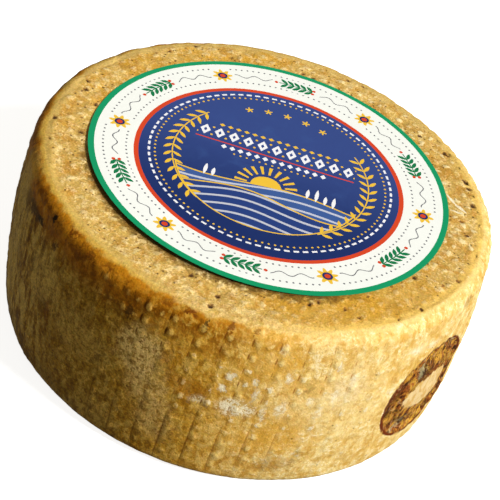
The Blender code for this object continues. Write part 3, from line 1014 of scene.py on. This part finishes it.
def paperMaterial():
    made, shader, place = startMaterial("printedPaper")
    layout = labelPrint
    u, v, up = parts(local(place, labelMiddle.x, labelMiddle.y, labelRadius, labelRadius))
    flat = joined(u, v)
    reach = lengthOf(flat)
    angle = v.math("ARCTAN2", u)
    field = local(flat, *layout["blueShift"], 1.0, 1.0)
    fieldReach = lengthOf(field)

    def around(ring, count, phase=0.0):
        # the place measured along and out from the nearest of count spots on a ring
        half = pi / count
        along = (angle - radians(phase)).math("WRAP", half, -half)
        return joined(along * ring, reach - ring)

    def within(middle, half):
        # the sector up to half degrees either side of a direction
        direction = radians(middle)
        towards = (u * cos(direction) + v * sin(direction)) / reach
        return towards > cos(radians(half))

    def row(height, pitch, half):
        # the place measured from the nearest of a row of spots, and the row's extent
        along = u.math("WRAP", pitch / 2, -pitch / 2)
        return joined(along, v - height), abs(u) < half

    # the middle field: blue with a soft cloud, and rolling hills under a low sun
    cloud = grain(place, 0.011, 4.0, 0.6, 0.5)
    coat = Coat(tone(*inks["blueLow"]), inks)
    coat.lay(rise(v, -0.55, 0.35), "blueTop")
    coat.lay(rise(cloud, 0.45, 0.7) * rise(fieldReach, 0.62, 0.3) * 0.30, "hillFar")
    inScene = fieldReach < layout["sceneRadius"]
    sun = local(flat, *layout["sunPlace"], layout["sunRadius"], layout["sunRadius"])
    sunX, sunY, sunZ = parts(sun)
    sunReach = lengthOf(sun)
    rayTurn = pi / layout["sunRays"]
    rayAngle = sunY.math("ARCTAN2", sunX).math("WRAP", rayTurn, -rayTurn)
    ray = (abs(rayAngle) < rayTurn * 0.36) * (sunReach > 1.25) * (sunReach < 2.05)
    coat.lay(either(sunReach < 1.0, ray), "gold")
    for height, waves, phase, swing, ink in layout["hills"]:
        depth = height + (u * waves + phase).math("SINE") * swing - v
        furrow = (depth * 95 + u * 9).math("SINE") > 0.72
        field = mix(furrow * 0.6, tone(*inks[ink]), tone(*inks["white"]))
        coat.lay((depth > 0.0) * inScene, field)
        coat.lay((depth > -0.006) * (depth < 0.004) * inScene, "gold")
    height, waves, phase, swing, ink = layout["hills"][0]
    trees = []
    for x, half in layout["trees"]:
        foot = height + swing * sin(waves * x + phase)
        trees.append(leaf(flat, x, foot + half * 0.85, half, 0.0105, pi / 2))
    coat.lay(either(*trees), "white")
    edge = fieldReach > layout["sceneRadius"]
    coat.lay(edge * (v < -0.17) * (fieldReach < layout["sceneRadius"] + 0.008), "gold")

    # friezes of plain shapes
    spots, extent = row(layout["friezeHeight"], layout["friezePitch"], layout["friezeHalf"])
    diamond = lozenge(spots, 0, 0, 0.030, 0.048) * extent
    coat.lay(diamond, "white")
    coat.lay(lozenge(spots, 0, 0, 0.010, 0.018) * extent, "blueTop")
    pitch = layout["friezePitch"]
    between = local(flat, pitch / 2, 0, 1.0, 1.0)
    shifted = parts(between)[0]
    beads = joined(shifted.math("WRAP", pitch / 2, -pitch / 2), v - layout["friezeHeight"])
    for offset in (-0.036, 0.036):
        coat.lay(oval(beads, 0, offset, 0.0075, 0.0075) * extent, "gold")
    coat.lay(bar(flat, 0, layout["lineHeight"], layout["friezeHalf"], 0.0045), "red")
    for height, pitch, count, wide, high, ink in layout["rows"]:
        spots, extent = row(height, pitch, pitch * count)
        coat.lay(lozenge(spots, 0, 0, wide, high) * extent, ink)
    spots, extent = row(0.028, 0.036, 0.036 * 6.5)
    coat.lay(oval(spots, 0, 0, 0.0062, 0.0062) * extent, "gold")

    # rings of dashes and beads, an arc of stars and two laurel branches
    ring, count, half, high = layout["dashRing"]
    coat.lay(bar(around(ring, count), 0, 0, half, high), "white")
    ring, count, size = layout["beadRing"]
    coat.lay(oval(around(ring, count), 0, 0, size, size), "gold")
    star = local(around(layout["starRing"], layout["stars"], 6.0), 0, 0, 0.026, 0.026)
    starX, starY, starZ = parts(star)
    points = (starX.math("ARCTAN2", starY) * 5.0).math("COSINE")
    stars = (lengthOf(star) < 0.62 + points * 0.34) * within(*layout["starSpan"])
    coat.lay(stars, "gold")
    ring = layout["laurelRing"]
    spots = around(ring, layout["laurelLeaves"])
    sprays = either(leaf(spots, 0, 0.026, 0.032, 0.0105, 0.85), leaf(spots, 0, -0.026, 0.032, 0.0105, -0.85),
                    bar(spots, 0, 0, 1.0, 0.0035))
    for span in layout["laurelSpans"]:
        coat.lay(sprays * within(*span), "gold")

    # the red line, the white ring with its sprigs and flowers, and the green edge
    coat.lay(fieldReach > layout["blueTo"], "red")
    coat.lay(fieldReach > layout["redTo"], "paper")
    inRing = (fieldReach > layout["redTo"] + 0.012) * (reach < layout["greenFrom"] - 0.012)
    ring, motifs = layout["motifRing"], layout["motifs"]
    spots = around(ring, motifs, 30.0)
    sprig = either(*[leaf(spots, x, 0.022 * side, 0.030, 0.0115, 0.75 * side)
                     for x in (-0.075, -0.037, 0.0, 0.037, 0.075) for side in (-1, 1)])
    sprig = either(sprig, bar(spots, 0.005, 0, 0.100, 0.0035))
    coat.lay(sprig, "leafGreen")
    for x, y in ((0.122, 0.0), (-0.102, 0.016), (-0.102, -0.016)):
        coat.lay(oval(spots, x, y, 0.0105, 0.0105), "red")
    spots = around(ring, motifs)
    petal = local(spots, 0, 0, 0.062, 0.062)
    petalX, petalY, petalZ = parts(petal)
    petals = (petalX.math("ARCTAN2", petalY) * 8.0).math("COSINE") * 0.20 + 0.78
    flower = lengthOf(petal)
    coat.lay(flower < petals, "gold")
    coat.lay(flower < 0.46, "blueLow")
    coat.lay(flower < 0.26, "red")
    plain = 1.0 - either(flower < 1.25, oval(around(ring, motifs, 30.0), 0, 0, 0.150, 0.062))
    for ring, count, size in layout["dotRings"]:
        coat.lay(oval(around(ring, count), 0, 0, size, size) * plain * inRing, "grey")
    wave = (angle * 48.0).math("SINE") * 0.014 + layout["motifRing"]
    strip = reach - wave
    coat.lay((abs(strip) < 0.0034) * plain, "grey")
    coat.lay(reach > layout["greenFrom"], "green")

    # printing is a touch uneven, and the paper's coat is not quite smooth
    wear = grain(place, 0.0016, 2.0, 0.6)
    colour = shade(coat.colour, 0.975 + wear * 0.05)
    dimple = place.node("ShaderNodeBump", None, {"Strength": 0.25, "Distance": 0.0002,
                                                 "Height": grain(place, 0.006, 2.0, 0.5)})
    feed(shader, {"Base Color": colour, "Roughness": 0.30 + wear * 0.10, "Specular IOR Level": 0.22,
                  "Normal": dimple})
    return made


# the camera stands where the photograph's stood: aimed off the label's middle, and rolled
camera = {
    "lens": 108.1,
    "sensor": 36.0,
    "distance": 0.6088,
    "elevation": 35.55,
    "roll": 17.26,
    "frame": 500,
    "labelPixel": (271.13, 169.48),  # where the label's middle is seen in the frame
}


def buildCamera():
    lens = bpy.data.cameras.new("camera")
    lens.lens, lens.sensor_width = camera["lens"], camera["sensor"]
    lens.clip_start, lens.clip_end = 0.01, 30.0
    focal = camera["lens"] / camera["sensor"] * camera["frame"]
    half = camera["frame"] / 2
    sideways = atan((camera["labelPixel"][0] - half) / focal)
    downwards = atan((camera["labelPixel"][1] - half) / focal * cos(sideways))
    elevation, roll = radians(camera["elevation"]), radians(camera["roll"])
    stand = Vector((0.0, -cos(elevation), sin(elevation))) * camera["distance"]
    # turned from straight at the label: rolled, then swung sideways and up by the pixel's offset
    straight = Matrix.Rotation(pi / 2 - elevation, 3, "X")
    turned = straight @ Matrix.Rotation(roll, 3, "Z") @ Matrix.Rotation(sideways, 3, "Y")
    turned = turned @ Matrix.Rotation(downwards, 3, "X")
    holder = addObject("camera", lens)
    target = Vector((labelMiddle.x, labelMiddle.y, drum["height"]))
    holder.matrix_world = Matrix.Translation(target + stand) @ turned.to_4x4()
    bpy.context.scene.camera = holder


studio = {
    "keyBearing": 338,
    "keyElevation": 40,
    "keyStrength": 4.15,
    "keyAngle": 14,
    "fill": 0.22,
    "fillTone": (1.0, 0.93, 0.70, 1.0),
    "floorRadius": 5.0,
    "floorTone": tone(200, 200, 200),
    "floorGlow": 0.86,
}


def stagePiece(name, bm, colour, glow):
    made, shader, place = startMaterial(name)
    feed(shader, {"Base Color": colour, "Roughness": 0.9, "Emission Color": (1, 1, 1, 1),
                  "Emission Strength": glow})
    piece = placeMesh(name, bm, made)
    piece.visible_diffuse = piece.visible_glossy = False
    return piece


def buildStudio():
    floor = bmesh.new()
    bmesh.ops.create_circle(floor, cap_ends=True, segments=96, radius=studio["floorRadius"])
    stagePiece("floor", floor, studio["floorTone"], studio["floorGlow"])
    dome = bmesh.new()
    bmesh.ops.create_uvsphere(dome, u_segments=48, v_segments=24, radius=studio["floorRadius"])
    backdrop = stagePiece("backdrop", dome, (0, 0, 0, 1), 1.0)
    backdrop.visible_shadow = False
    sun = bpy.data.lights.new("key", "SUN")
    sun.energy, sun.angle = studio["keyStrength"], radians(studio["keyAngle"])
    lamp = addObject("key", sun)
    bearing, elevation = radians(studio["keyBearing"]), radians(studio["keyElevation"])
    towards = Vector((cos(bearing) * cos(elevation), sin(bearing) * cos(elevation),
                      sin(elevation)))
    lamp.rotation_euler = towards.to_track_quat("Z", "Y").to_euler()
    world = bpy.data.worlds.new("fill")
    world.use_nodes = True
    world.node_tree.nodes["Background"].inputs["Strength"].default_value = studio["fill"]
    world.node_tree.nodes["Background"].inputs["Color"].default_value = studio["fillTone"]
    bpy.context.scene.world = world
    bpy.context.scene.view_settings.view_transform = "Standard"


buildCamera()
buildStudio()
print("camera and studio stand")
buildRind()
buildLabel()
